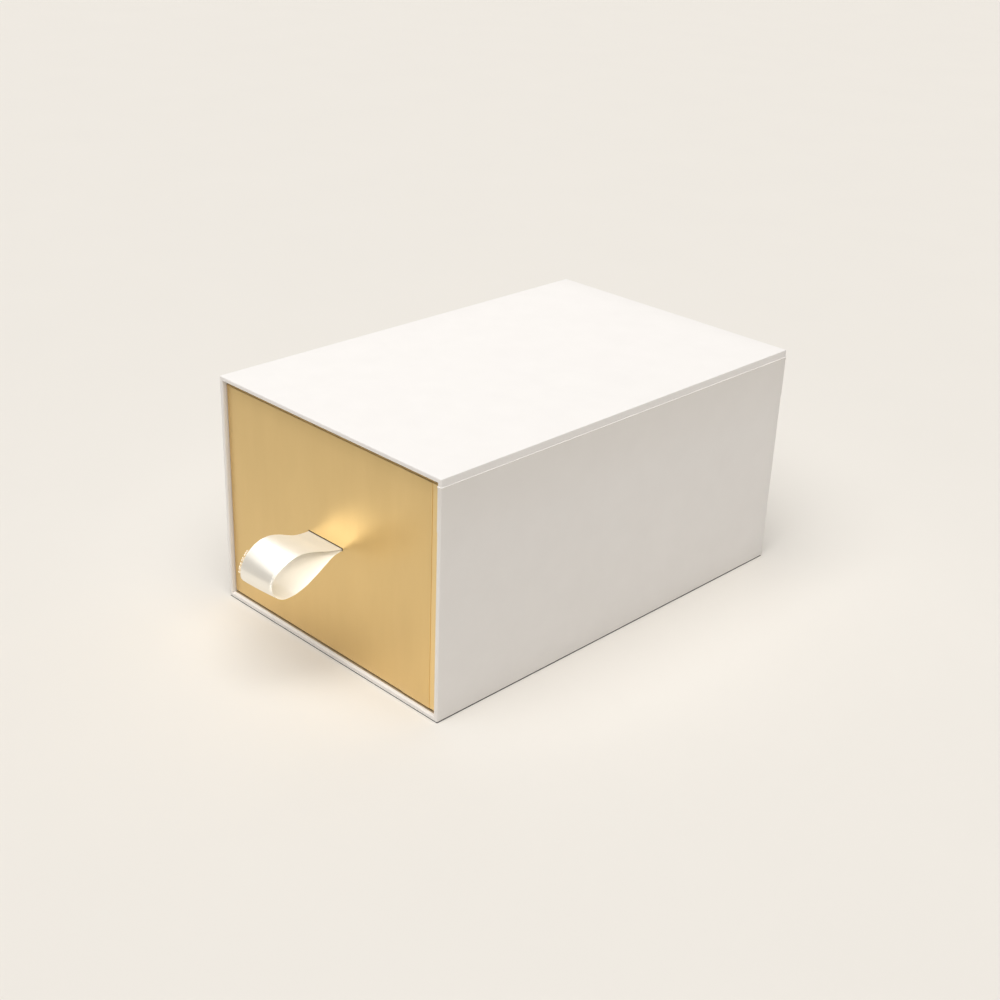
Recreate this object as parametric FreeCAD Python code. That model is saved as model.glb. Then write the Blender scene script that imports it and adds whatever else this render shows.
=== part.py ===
"""Sliding drawer gift box: a white paper-covered sleeve and a gold drawer with a ribbon pull.

Both parts are greyboard panels, butted at their edges, taped, and wrapped in one sheet of paper
each.  A wrap starts with a flap, runs once round the panels and ends over its own flap, a little
short of the corner, so one side of the sleeve and the front of the drawer show a cut paper edge.

Units are millimetres.  +X is the right side as the front is faced, -Y is the front, +Z is up.
The origin is the centre of the sleeve's underside.
"""
import FreeCAD, Part
import math
import os
from FreeCAD import Vector

# ---- driving sizes ---------------------------------------------------------------------------
sleeve_width = 102.0            # over the paper
sleeve_depth = 160.0            # mouth to back
sleeve_height = 78.6

sleeve_board = 1.0              # greyboard of the sleeve
drawer_board = 1.0              # greyboard of the drawer
paper = 0.12                    # wrapping paper, white or gold
tape = 0.06                     # gummed stay tape, as thick as the glue film that it lies in
liner = 0.10                    # lining paper
board_edge_radius = 0.12        # a cut greyboard edge, once it is pressed by the wrap

sleeve_flap = 16.0              # the wrap's first end, down from the top right edge
sleeve_seam_setback = 2.4       # the wrap's last end stops this far under the top right edge
sleeve_turn_in = 15.0           # paper turned into the mouth
back_turn_over = 14.0           # paper turned over the back
back_sheet_margin = 2.0         # back sheet's edge to the sleeve's edge
sleeve_lining_setback = 0.5     # lining's front edge behind that of the boards

drawer_flap = 15.8              # the gold wrap's first end, in from the front right edge
drawer_seam_setback = 3.05      # the gold wrap's last end stops this far from that edge
drawer_turn_in = 14.0           # paper turned over the rim and down inside
base_turn_under = 14.0          # paper turned under the drawer
base_sheet_margin = 2.0         # base sheet's edge to the drawer's edge
drawer_lining_setback = 3.0     # wall lining's top edge under the rim

mitre_slit = 0.25               # gap where two turned edges meet at a corner
lining_seam = 0.2               # gap where a lining sheet's two ends meet
tape_leg = 10.0                 # each half of a stay tape folded along its edge
tape_end_gap = 0.5              # one tape's end to the next tape

drawer_recess = 1.2             # sleeve's mouth to the drawer's front
drawer_side_gap = 0.25          # drawer to the turned-in paper, each side
drawer_floor_gap = 0.5
drawer_head_gap = 1.2
drawer_back_gap = 0.3

ribbon_width = 15.9
ribbon_thickness = 0.30
ribbon_centre_x = -1.2
ribbon_rise = 0.0               # ribbon's middle in the slot above the sleeve's mid-height
ribbon_layer_gap = 0.15         # between the two layers in the slot
ribbon_fold_radius = 0.10       # inside the fold where a tail turns along the board
tail_length = 17.0              # each glued end, from the ribbon's middle in the slot
slot_side_gap = 0.3
slot_height = 1.15
slot_rise = 0.1                 # slot's middle above the ribbon's, so the slot shows over it
patch_width = 28.0              # gummed patch across both tails
patch_height = 30.0
patch_thickness = 0.10
patch_cover_gap = 0.05          # wall lining over the patch

# Edge-on line of the loop, as (out from the drawer's front, up from the slot), slot to nose.
upper_run = [(5.0, 1.05), (13.3, 3.15), (19.2, 2.90), (23.6, 0.30), (26.0, -4.40), (25.0, -7.90)]
lower_run = [(3.8, -1.35), (12.8, -7.00), (17.5, -8.80)]

# ---- sizes that follow -----------------------------------------------------------------------
half_width = sleeve_width / 2
mouth_y = -sleeve_depth / 2
back_y = sleeve_depth / 2
tape_radius = board_edge_radius + tape
fold_radius = tape_radius + paper

skin = paper + tape                                  # a wrap's outside to its boards
sleeve_lip = skin + sleeve_board + liner + paper     # edge of the mouth, as it is seen
sleeve_low = Vector(-half_width, mouth_y, 0)
sleeve_high = Vector(half_width, back_y - paper, sleeve_height)

drawer_half_width = half_width - sleeve_lip - drawer_side_gap
drawer_front_y = mouth_y + drawer_recess
drawer_rear_y = sleeve_high.y - skin - sleeve_board - liner - drawer_back_gap
drawer_bottom_z = sleeve_lip + drawer_floor_gap
drawer_rim_z = sleeve_height - sleeve_lip - drawer_head_gap
drawer_low = Vector(-drawer_half_width, drawer_front_y, drawer_bottom_z + paper)
drawer_high = Vector(drawer_half_width, drawer_rear_y, drawer_rim_z)
drawer_wall = skin + drawer_board                    # the drawer's outside to its boards' inside
drawer_floor_z = drawer_low.z + drawer_wall          # top of the base board
drawer_inside_y = drawer_front_y + drawer_wall       # inside of the front board
ribbon_z = sleeve_height / 2 + ribbon_rise

beyond = 5.0                    # cutting tools reach this far past what they cut
plane_tolerance = 0.01          # an edge this near a plane lies in it
x_axis, y_axis, z_axis = Vector(1, 0, 0), Vector(0, 1, 0), Vector(0, 0, 1)
past_corner = Vector(beyond, beyond, beyond)


# ---- shapes ----------------------------------------------------------------------------------
def box(low, high):
    """The block between two corners, each a Vector or three numbers."""
    low, high = Vector(low), Vector(high)
    size = high - low
    return Part.makeBox(size.x, size.y, size.z, low)


def inset(low, high, distance):
    step = Vector(distance, distance, distance)
    return low + step, high - step


def rounded_box(low, high, distance, radius):
    """The block between two corners, set in on every side, with all its edges rounded."""
    block = box(*inset(low, high, distance))
    return block.makeFillet(radius, block.Edges)


def round_rim(shape, low, high, radius):
    """Round the edges that lie in the flat rectangle between two corners."""
    low, high = inset(low, high, -plane_tolerance)
    window = FreeCAD.BoundBox(low.x, low.y, low.z, high.x, high.y, high.z)
    return shape.makeFillet(radius, [edge for edge in shape.Edges if window.isInside(edge.BoundBox)])


def mitre_blade(corner, diagonal, axis, length):
    """A thin upright blade from a corner along a diagonal, to part two turned edges of paper."""
    direction = Vector(diagonal).normalize()
    half = direction.cross(axis) * (mitre_slit / 2)
    start = corner - direction * mitre_slit - axis * (1.5 * paper)
    foot = start + direction * (length + mitre_slit)
    outline = Part.makePolygon([start - half, foot - half, foot + half, start + half, start - half])
    return Part.Face(outline).extrude(axis * (3 * paper))


def single(shape):
    """The one solid of a result, without the seams that cutting left in its faces."""
    return shape.removeSplitter().Solids[0]


def corner_zones(low, high):
    """Where tapes lie round a rectangle in two axes: each side by name, as four limits."""
    leg, clear = tape_leg, tape_leg + tape_end_gap
    (low_a, low_b), (high_a, high_b) = low, high
    return {
        "left": (low_a - beyond, low_a + leg, low_b + clear, high_b - clear),
        "right": (high_a - leg, high_a + beyond, low_b + clear, high_b - clear),
        "low": (low_a + clear, high_a - clear, low_b - beyond, low_b + leg),
        "high": (low_a + clear, high_a - clear, high_b - leg, high_b + beyond),
    }


def glue_film(low, high):
    """The layer between the wrap and the boards, which the stay tapes are cut from."""
    film = rounded_box(low, high, paper, tape_radius)
    return film.cut(rounded_box(low, high, skin, board_edge_radius))


# ---- sleeve ----------------------------------------------------------------------------------
def sleeve_mouth(extra):
    """Corners of the space inside the turned-in paper, widened by extra on its four sides."""
    reach = half_width - sleeve_lip + extra
    return (Vector(-reach, mouth_y, sleeve_lip - extra),
            Vector(reach, mouth_y + sleeve_turn_in, sleeve_height - sleeve_lip + extra))


def sleeve_hollow():
    """Corners of the space inside the five boards."""
    low, high = inset(sleeve_low, sleeve_high, skin + sleeve_board)
    return Vector(low.x, mouth_y + skin, low.z), high


def make_sleeve_boards():
    """Five panels: top and bottom over the sides, and the back inside all four."""
    low, high = sleeve_hollow()
    block = rounded_box(sleeve_low, sleeve_high, skin, board_edge_radius)
    shell = block.cut(box(low - y_axis * beyond, high))
    shell = round_rim(shell, low, Vector(high.x, low.y, high.z), board_edge_radius)

    first, last = sleeve_low - past_corner, sleeve_high + past_corner
    panels = {
        "top": ((first.x, first.y, high.z), last),
        "bottom": (first, (last.x, last.y, low.z)),
        "left": ((first.x, first.y, low.z), (low.x, last.y, high.z)),
        "right": ((high.x, first.y, low.z), (last.x, last.y, high.z)),
        "back": ((low.x, high.y, low.z), (high.x, last.y, high.z)),
    }
    return {f"sleeve_{name}_board": shell.common(box(*panel)) for name, panel in panels.items()}


def make_sleeve_tapes():
    """Stay tapes folded over the four long edges and over the four edges of the back."""
    film = glue_film(sleeve_low, sleeve_high)
    low, high = inset(sleeve_low, sleeve_high, skin)
    tapes = {}
    long_low_y, long_high_y = low.y + board_edge_radius, high.y - tape_leg - tape_end_gap
    sides = {"left": (low.x - beyond, low.x + tape_leg), "right": (high.x - tape_leg, high.x + beyond)}
    levels = {"lower": (low.z - beyond, low.z + tape_leg),
              "upper": (high.z - tape_leg, high.z + beyond)}
    for side, (x_low, x_high) in sides.items():
        for level, (z_low, z_high) in levels.items():
            zone = box((x_low, long_low_y, z_low), (x_high, long_high_y, z_high))
            tapes[f"sleeve_{level}_{side}_tape"] = film.common(zone)
    names = {"left": "left", "right": "right", "low": "bottom", "high": "top"}
    zones = corner_zones((low.x, low.z), (high.x, high.z))
    for side, (x_low, x_high, z_low, z_high) in zones.items():
        zone = box((x_low, high.y - tape_leg, z_low), (x_high, high.y + beyond, z_high))
        tapes[f"sleeve_back_{names[side]}_tape"] = film.common(zone)
    return tapes


def make_sleeve_wrap():
    """One sheet round all four sides, turned into the mouth and over the edges of the back."""
    mouth_low, mouth_high = sleeve_mouth(0)
    wide_low, wide_high = sleeve_mouth(paper)
    wrap = rounded_box(sleeve_low, sleeve_high, 0, fold_radius)
    wrap = wrap.cut(rounded_box(sleeve_low, sleeve_high, paper, tape_radius))
    wrap = wrap.fuse(box(wide_low, wide_high))
    wrap = wrap.cut(box(mouth_low - y_axis * beyond, mouth_high))
    wrap = wrap.cut(box((-half_width + back_turn_over, 0, back_turn_over),
                        (half_width - back_turn_over, back_y, sleeve_height - back_turn_over)))
    wrap = single(wrap)
    wrap = round_rim(wrap, mouth_low, Vector(mouth_high.x, mouth_y, mouth_high.z), fold_radius)
    wide_low.y = mouth_y + paper
    wrap = round_rim(wrap, wide_low, Vector(wide_high.x, wide_low.y, wide_high.z), tape_radius)

    # Where the last end lies over the flap, the right side is two sheets thick.
    wrap = wrap.fuse(box((half_width - paper / 2, mouth_y + fold_radius,
                          sleeve_height - sleeve_flap),
                         (half_width + paper, sleeve_high.y - fold_radius,
                          sleeve_height - sleeve_seam_setback)))

    # Turned edges are cut to a mitre at the corners, and part along the corners of the mouth.
    lip_mitre = (sleeve_lip - fold_radius) * math.sqrt(2)
    back_mitre = (back_turn_over - 2 * fold_radius) * math.sqrt(2)
    for side, x in ((-1, mouth_low.x), (1, mouth_high.x)):
        for level, z in ((-1, mouth_low.z), (1, mouth_high.z)):
            diagonal = Vector(side, 0, level)
            wrap = wrap.cut(mitre_blade(Vector(x, mouth_y, z), diagonal, y_axis, lip_mitre))
            wrap = wrap.cut(box((x - mitre_slit, mouth_y + fold_radius, z - mitre_slit),
                                (x + mitre_slit, mouth_high.y + beyond, z + mitre_slit)))
            back_corner = Vector(side * half_width, sleeve_high.y,
                                 sleeve_height / 2 * (1 + level)) - diagonal * back_turn_over
            wrap = wrap.cut(mitre_blade(back_corner, diagonal, y_axis, back_mitre))
    return single(wrap)


def make_sleeve_sheets():
    """The sheet over the back, and the linings of the walls and of the back."""
    back_sheet = box((-half_width + back_sheet_margin, sleeve_high.y, back_sheet_margin),
                     (half_width - back_sheet_margin, back_y, sleeve_height - back_sheet_margin))
    low, high = sleeve_hollow()
    low.y += sleeve_lining_setback
    inner_low = Vector(low.x + liner, low.y, low.z + liner)
    inner_high = Vector(high.x - liner, high.y, high.z - liner)
    wall_lining = box(low, high).cut(box(inner_low - y_axis * beyond, inner_high + y_axis * beyond))
    seam = box((inner_high.x, low.y - beyond, inner_low.z),
               (high.x + beyond, high.y + beyond, inner_low.z + lining_seam))
    back_lining = box((inner_low.x, high.y - liner, inner_low.z), inner_high)
    return {"sleeve_back_sheet": back_sheet, "sleeve_wall_lining": wall_lining.cut(seam),
            "sleeve_back_lining": back_lining}


# ---- drawer ----------------------------------------------------------------------------------
def ribbon_slot():
    """The cut through the front that both layers of the ribbon pass."""
    half = ribbon_width / 2 + slot_side_gap
    middle_z = ribbon_z + slot_rise
    return box((ribbon_centre_x - half, drawer_front_y - beyond, middle_z - slot_height / 2),
               (ribbon_centre_x + half, drawer_inside_y + liner, middle_z + slot_height / 2))


def drawer_hollow(lining, low_z, high_z):
    """Corners of the space between the four walls, less lining on each, over a height."""
    low, high = inset(drawer_low, drawer_high, drawer_wall + lining)
    return Vector(low.x, low.y, low_z), Vector(high.x, high.y, high_z)


def drawer_ring(outside, inside, low_z, high_z):
    """A band that lines the four walls, from one depth of lining to another."""
    band = box(*drawer_hollow(outside, low_z, high_z))
    return band.cut(box(*drawer_hollow(inside, low_z - beyond, high_z + beyond)))


def make_drawer_boards():
    """Front and rear over the sides' ends, and the base inside all four."""
    board_top_z = drawer_rim_z - skin
    low, high = drawer_hollow(0, drawer_floor_z, board_top_z)
    block = rounded_box(drawer_low, drawer_high, skin, board_edge_radius)
    shell = block.cut(box(low, high + z_axis * beyond))
    shell = round_rim(shell, Vector(low.x, low.y, board_top_z), high, board_edge_radius)
    shell = shell.cut(ribbon_slot())

    first, last = drawer_low - past_corner, drawer_high + past_corner
    panels = {
        "front": (first, (last.x, low.y, last.z)),
        "rear": ((first.x, high.y, first.z), last),
        "left": ((first.x, low.y, first.z), (low.x, high.y, last.z)),
        "right": ((high.x, low.y, first.z), (last.x, high.y, last.z)),
        "base": ((low.x, low.y, first.z), (high.x, high.y, low.z)),
    }
    return {f"drawer_{name}_board": shell.common(box(*panel)) for name, panel in panels.items()}


def make_drawer_tapes():
    """Stay tapes round the four corners and along the four edges of the base."""
    film = glue_film(drawer_low, drawer_high)
    low, high = inset(drawer_low, drawer_high, skin)
    tapes = {}
    corner_low_z, corner_high_z = low.z + tape_leg + tape_end_gap, high.z - board_edge_radius
    sides = {"left": (low.x - beyond, low.x + tape_leg), "right": (high.x - tape_leg, high.x + beyond)}
    ends = {"front": (low.y - beyond, low.y + tape_leg), "rear": (high.y - tape_leg, high.y + beyond)}
    for side, (x_low, x_high) in sides.items():
        for end, (y_low, y_high) in ends.items():
            zone = box((x_low, y_low, corner_low_z), (x_high, y_high, corner_high_z))
            tapes[f"drawer_{end}_{side}_tape"] = film.common(zone)
    names = {"left": "left", "right": "right", "low": "front", "high": "rear"}
    zones = corner_zones((low.x, low.y), (high.x, high.y))
    for side, (x_low, x_high, y_low, y_high) in zones.items():
        zone = box((x_low, y_low, low.z - beyond), (x_high, y_high, low.z + tape_leg))
        tapes[f"drawer_base_{names[side]}_tape"] = film.common(zone)
    return tapes


def make_drawer_wrap():
    """One sheet round the four walls, turned over the rim and under the base."""
    turn_in_z = drawer_rim_z - drawer_turn_in
    low, high = drawer_hollow(paper, turn_in_z, drawer_rim_z)
    wide_low, wide_high = drawer_hollow(0, turn_in_z, drawer_rim_z)
    wrap = rounded_box(drawer_low, drawer_high, 0, fold_radius)
    wrap = wrap.cut(rounded_box(drawer_low, drawer_high, paper, tape_radius))
    wrap = wrap.fuse(box(wide_low, wide_high)).cut(box(low, high + z_axis * beyond))
    base_low, base_high = inset(drawer_low, drawer_high, base_turn_under)
    wrap = wrap.cut(box((base_low.x, base_low.y, drawer_low.z - beyond),
                        (base_high.x, base_high.y, drawer_floor_z)))
    wrap = single(wrap)
    wrap = round_rim(wrap, Vector(low.x, low.y, high.z), high, fold_radius)
    wide_high.z = drawer_rim_z - paper
    wrap = round_rim(wrap, Vector(wide_low.x, wide_low.y, wide_high.z), wide_high, tape_radius)

    # The last end of the sheet crosses the front over its flap.
    wrap = wrap.fuse(box((drawer_high.x - drawer_flap, drawer_front_y - paper,
                          drawer_low.z + fold_radius),
                         (drawer_high.x - drawer_seam_setback, drawer_front_y + paper / 2,
                          drawer_rim_z - fold_radius)))
    wrap = wrap.cut(ribbon_slot())

    # Turned edges are cut to a mitre at the corners, and part down the corners inside.
    rim_mitre = (drawer_wall + paper - fold_radius) * math.sqrt(2)
    base_mitre = (base_turn_under - 2 * fold_radius) * math.sqrt(2)
    for side, x, outer_x in ((-1, low.x, drawer_low.x), (1, high.x, drawer_high.x)):
        for end, y, outer_y in ((-1, low.y, drawer_low.y), (1, high.y, drawer_high.y)):
            diagonal = Vector(side, end, 0)
            wrap = wrap.cut(mitre_blade(Vector(x, y, drawer_rim_z), diagonal, z_axis, rim_mitre))
            wrap = wrap.cut(box((x - mitre_slit, y - mitre_slit, turn_in_z - beyond),
                                (x + mitre_slit, y + mitre_slit, drawer_rim_z - fold_radius)))
            base_corner = Vector(outer_x, outer_y, drawer_low.z) - diagonal * base_turn_under
            wrap = wrap.cut(mitre_blade(base_corner, diagonal, z_axis, base_mitre))
    return single(wrap)


def make_drawer_sheets():
    """The sheet under the base, and the linings of the walls and of the floor."""
    base_sheet = box((drawer_low.x + base_sheet_margin, drawer_low.y + base_sheet_margin,
                      drawer_bottom_z),
                     (drawer_high.x - base_sheet_margin, drawer_high.y - base_sheet_margin,
                      drawer_low.z))
    lining_floor_z = drawer_floor_z + liner
    floor_lining = box(*drawer_hollow(0, drawer_floor_z, lining_floor_z))

    # The wall lining lies on the boards, and steps in over the turned-in gold paper.
    step_z = drawer_rim_z - drawer_turn_in
    lining_top_z = drawer_rim_z - drawer_lining_setback
    lining = drawer_ring(0, liner, lining_floor_z, step_z)
    lining = lining.fuse(drawer_ring(0, paper + liner, step_z - liner, step_z))
    lining = lining.fuse(drawer_ring(paper, paper + liner, step_z - liner, lining_top_z))

    # It rises over the ribbon's tails and their patch.
    rise = ribbon_thickness + patch_thickness + patch_cover_gap
    reach_x, reach_z = patch_width / 2, tail_length + patch_cover_gap
    lining = lining.fuse(box((ribbon_centre_x - reach_x - liner, drawer_inside_y,
                              ribbon_z - reach_z - liner),
                             (ribbon_centre_x + reach_x + liner, drawer_inside_y + rise + liner,
                              ribbon_z + reach_z + liner)))
    lining = lining.cut(box((ribbon_centre_x - reach_x, drawer_front_y, ribbon_z - reach_z),
                            (ribbon_centre_x + reach_x, drawer_inside_y + rise, ribbon_z + reach_z)))

    # Its two ends meet at the rear left corner.
    low, high = drawer_hollow(paper + liner, lining_floor_z, lining_top_z)
    seam = box((low.x - liner - beyond, high.y - lining_seam, low.z - beyond),
               (low.x, high.y, high.z + beyond))
    return {"drawer_base_sheet": base_sheet, "drawer_floor_lining": floor_lining,
            "drawer_wall_lining": single(lining.cut(seam))}


# ---- ribbon pull -----------------------------------------------------------------------------
def heading_after(start, heading, end):
    """Direction in which an arc arrives that leaves start along heading and runs to end."""
    chord = math.atan2(end[1] - start[1], end[0] - start[0])
    return heading + 2 * math.remainder(chord - heading, 2 * math.pi)


def arc_chain(start, heading, points):
    """Nodes (out, up, heading) of arcs that run on from each other through the points."""
    nodes = [(*start, heading)]
    for point in points:
        heading = heading_after(nodes[-1][:2], nodes[-1][2], point)
        nodes.append((*point, heading))
    return nodes


def joining_node(first, last):
    """Where two arcs meet that lead smoothly from one node to another."""
    tangent_out = math.cos(first[2]) + math.cos(last[2])
    tangent_up = math.sin(first[2]) + math.sin(last[2])
    span_out, span_up = last[0] - first[0], last[1] - first[1]
    along = span_out * tangent_out + span_up * tangent_up
    spread = 2 - 2 * math.cos(first[2] - last[2])
    reach = (math.sqrt(along ** 2 + spread * (span_out ** 2 + span_up ** 2)) - along) / spread
    out = (first[0] + last[0] + reach * (math.cos(first[2]) - math.cos(last[2]))) / 2
    up = (first[1] + last[1] + reach * (math.sin(first[2]) - math.sin(last[2]))) / 2
    return (out, up, heading_after(first[:2], first[2], (out, up)))


def ribbon_nodes():
    """Tail, fold, slot, loop, slot, fold and tail, as nodes of the ribbon's middle line."""
    half = ribbon_thickness / 2
    layer = ribbon_layer_gap / 2 + half                  # a layer's middle from the ribbon's
    bend = ribbon_fold_radius + half
    tail_out = -drawer_wall - half
    outward, down, inward = 0.0, -math.pi / 2, -math.pi
    upper = arc_chain((0, layer), outward, upper_run)
    lower = arc_chain((0, -layer), outward, lower_run)
    lower = [(out, up, heading + inward) for out, up, heading in reversed(lower)]
    head = [(tail_out, tail_length, down), (tail_out, layer + bend, down),
            (tail_out + bend, layer, outward)]
    foot = [(tail_out + bend, -layer, inward), (tail_out, -layer - bend, down),
            (tail_out, -tail_length, down)]
    return head + upper + [joining_node(upper[-1], lower[0])] + lower + foot


def ribbon_side(nodes, offset):
    """Edges of the ribbon seen edge-on, at an offset from its middle line."""
    def place(out, up, heading):
        return Vector(ribbon_centre_x - ribbon_width / 2,
                      drawer_front_y - out + offset * math.sin(heading),
                      ribbon_z + up + offset * math.cos(heading))

    edges = []
    for first, last in zip(nodes, nodes[1:]):
        turn = last[2] - first[2]
        curve = Part.LineSegment(place(*first), place(*last))
        if turn:
            bulge = math.tan(turn / 4) / 2
            middle_out = (first[0] + last[0]) / 2 + (last[1] - first[1]) * bulge
            middle_up = (first[1] + last[1]) / 2 - (last[0] - first[0]) * bulge
            middle = place(middle_out, middle_up, first[2] + turn / 2)
            curve = Part.Arc(place(*first), middle, place(*last))
        edges.append(curve.toShape())
    return edges


def make_ribbon():
    nodes = ribbon_nodes()
    face_up = ribbon_side(nodes, ribbon_thickness / 2)
    face_down = ribbon_side(nodes, -ribbon_thickness / 2)
    ends = [Part.LineSegment(face_up[i].Vertexes[i].Point, face_down[i].Vertexes[i].Point).toShape()
            for i in (0, -1)]
    outline = Part.Wire(Part.__sortEdges__(face_up + face_down + ends))
    length = sum(edge.Length for edge in ribbon_side(nodes, 0))
    print(f"ribbon cut length {length:.1f}, width {ribbon_width}")
    return Part.Face(outline).extrude(x_axis * ribbon_width)


def make_patch():
    """Gummed paper pressed over both tails and down on to the board beside them."""
    reach_x, reach_z = patch_width / 2, patch_height / 2
    tail_x = ribbon_width / 2
    patch = box((ribbon_centre_x - reach_x, drawer_inside_y, ribbon_z - reach_z),
                (ribbon_centre_x + reach_x, drawer_inside_y + patch_thickness, ribbon_z + reach_z))
    patch = patch.fuse(box((ribbon_centre_x - tail_x - patch_thickness, drawer_inside_y,
                            ribbon_z - reach_z),
                           (ribbon_centre_x + tail_x + patch_thickness,
                            drawer_inside_y + ribbon_thickness + patch_thickness,
                            ribbon_z + reach_z)))
    patch = patch.cut(box((ribbon_centre_x - tail_x, drawer_front_y, ribbon_z - tail_length),
                          (ribbon_centre_x + tail_x, drawer_inside_y + ribbon_thickness,
                           ribbon_z + tail_length)))
    return single(patch.cut(ribbon_slot()))


# ---- build -----------------------------------------------------------------------------------
def main():
    pieces = {"sleeve_wrap": make_sleeve_wrap(), "drawer_wrap": make_drawer_wrap(),
              "pull_ribbon": make_ribbon(), "ribbon_patch": make_patch()}
    for make in (make_sleeve_boards, make_sleeve_tapes, make_sleeve_sheets,
                 make_drawer_boards, make_drawer_tapes, make_drawer_sheets):
        pieces.update(make())
    os.makedirs("parts", exist_ok=True)
    for name, shape in sorted(pieces.items()):
        shape.exportStep(f"parts/{name}.step")
        size = shape.BoundBox
        print(f"{name:26} solids {len(shape.Solids)}  valid {shape.isValid()}  "
              f"{size.XLength:.2f} x {size.YLength:.2f} x {size.ZLength:.2f}")


main()
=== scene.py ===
# %% [markdown]
# # A sliding drawer gift box
#
# This lesson dresses a box that was built panel by panel: a white sleeve of paper-covered
# greyboard, and a gold drawer that slides in it and is pulled out by a loop of satin ribbon. The
# construction comes in as a fixed frame. Blender adds the two folded paper covers, the soft ribbon
# and the finish of every surface, and never moves a panel.

import math

import bmesh
import bpy
from mathutils import Euler, Matrix, Vector


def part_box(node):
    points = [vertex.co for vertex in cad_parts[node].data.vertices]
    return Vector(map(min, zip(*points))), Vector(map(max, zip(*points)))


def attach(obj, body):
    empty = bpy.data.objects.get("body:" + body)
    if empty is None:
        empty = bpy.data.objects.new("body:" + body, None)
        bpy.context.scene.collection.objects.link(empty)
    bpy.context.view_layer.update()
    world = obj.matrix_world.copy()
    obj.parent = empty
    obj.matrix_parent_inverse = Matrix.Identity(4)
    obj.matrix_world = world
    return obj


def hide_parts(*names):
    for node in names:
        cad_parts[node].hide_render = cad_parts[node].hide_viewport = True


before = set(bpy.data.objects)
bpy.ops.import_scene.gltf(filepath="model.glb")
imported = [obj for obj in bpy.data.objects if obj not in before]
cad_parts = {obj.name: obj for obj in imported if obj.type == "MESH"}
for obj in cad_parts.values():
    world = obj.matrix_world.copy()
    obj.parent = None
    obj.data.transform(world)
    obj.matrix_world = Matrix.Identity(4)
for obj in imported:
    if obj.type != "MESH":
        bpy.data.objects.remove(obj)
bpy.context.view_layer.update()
bpy.ops.object.select_all(action="DESELECT")

MM = 0.001                        # the scene is in metres, and the box is measured in millimetres
RIGHT, BACK, UP = Vector((1, 0, 0)), Vector((0, 1, 0)), Vector((0, 0, 1))

# %% [markdown]
# ## The camera
#
# A product picture of a box is taken from above one corner, so that three of its sides show. The
# camera stands about half a metre away, near enough for the far edges to look shorter. It is
# turned in three steps, as on a tripod: round the box, down towards it, and a small roll.

# %% Camera
camera_place = Vector((319.6, -334.1, 251.1)) * MM
camera_round, camera_down, camera_roll = 44.11, 25.71, 2.19    # degrees
lens_length, sensor_width = 54.19, 36.0                        # millimetres

bpy.ops.object.camera_add()
camera = bpy.context.object
camera.name = "product_camera"
turned = Euler((math.radians(90 - camera_down), 0, math.radians(camera_round))).to_matrix()
rolled = Matrix.Rotation(math.radians(camera_roll), 4, "Z")
camera.matrix_world = Matrix.Translation(camera_place) @ turned.to_4x4() @ rolled
camera.data.lens = lens_length
camera.data.sensor_width = sensor_width
bpy.context.scene.camera = camera
print("camera", round(camera_place.length / MM), "mm from the middle of the underside")

# %% [markdown]
# ## The light
#
# The box stands in a light tent. A wide lamp above, leaning towards the front, makes the lid the
# brightest face and lights the floor. A much weaker one from behind keeps the far side from going
# dark. Sun lamps suit a tent, because they light the whole floor alike, and a wide angle gives them
# the soft shadows of a diffuser.

# %% Lamps
lamps = {                         # degrees off straight up, towards which side, width, strength
    "tent_top": (21, -60, 68, 1.08),
    "tent_back": (52, 162, 60, 0.12),
}
for name, (lean, side, width, strength) in lamps.items():
    bpy.ops.object.light_add(type="SUN", location=(0, 0, 1))
    lamp = bpy.context.object
    lamp.name = name
    lamp.rotation_euler = (0, math.radians(lean), math.radians(side))
    lamp.data.energy = strength * math.pi        # pi lights a white card to plain white
    lamp.data.angle = math.radians(width)
print(len(lamps), "lamps, together", round(sum(lamp[3] for lamp in lamps.values()), 2))

# %% [markdown]
# ### What the gold mirrors
#
# The tent's walls are the pale background. Light doesn't come from them, which keeps the lamps in
# charge, but the lens and the gold paper see them. The tent is open in front, where the camera
# looks in, and the gold sees a dimmer room there.

# %% Tent walls
wall_colour = (0.855, 0.807, 0.738)
room_share = 0.12                 # the room's brightness beside the wall's
opening_edge = 0.3                # the walls fade into it from this far behind to this far in front


def add(tree, kind, **values):
    """A new node, with its inputs and its own settings set by name."""
    node = tree.nodes.new(kind)
    for name, value in values.items():
        if name in node.inputs:
            node.inputs[name].default_value = value
        else:
            setattr(node, name, value)
    return node


def map_range(tree, value, from_low, from_high, to_low, to_high):
    """A value brought from one range to another."""
    reach = add(tree, "ShaderNodeMapRange", **{"From Min": from_low, "From Max": from_high,
                                               "To Min": to_low, "To Max": to_high})
    tree.links.new(value, reach.inputs["Value"])
    return reach.outputs["Result"]


world = bpy.data.worlds.new("light_tent")
world.use_nodes = True
bpy.context.scene.world = world
tree = world.node_tree
tree.nodes.clear()
path = add(tree, "ShaderNodeLightPath")
wall = add(tree, "ShaderNodeBackground", Color=(*wall_colour, 1), Strength=1.0)
seen = add(tree, "ShaderNodeBackground", Color=(*wall_colour, 1))
unlit = add(tree, "ShaderNodeBackground", Color=(0, 0, 0, 1), Strength=0.0)
direction = add(tree, "ShaderNodeTexCoord")
parts = add(tree, "ShaderNodeSeparateXYZ")
tree.links.new(direction.outputs["Generated"], parts.inputs[0])
opening = map_range(tree, parts.outputs["Y"], opening_edge, -opening_edge, 1.0, room_share)
tree.links.new(opening, seen.inputs["Strength"])
mirrored, looked_at = add(tree, "ShaderNodeMixShader"), add(tree, "ShaderNodeMixShader")
tree.links.new(path.outputs["Is Glossy Ray"], mirrored.inputs[0])
tree.links.new(unlit.outputs[0], mirrored.inputs[1])
tree.links.new(seen.outputs[0], mirrored.inputs[2])
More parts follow.
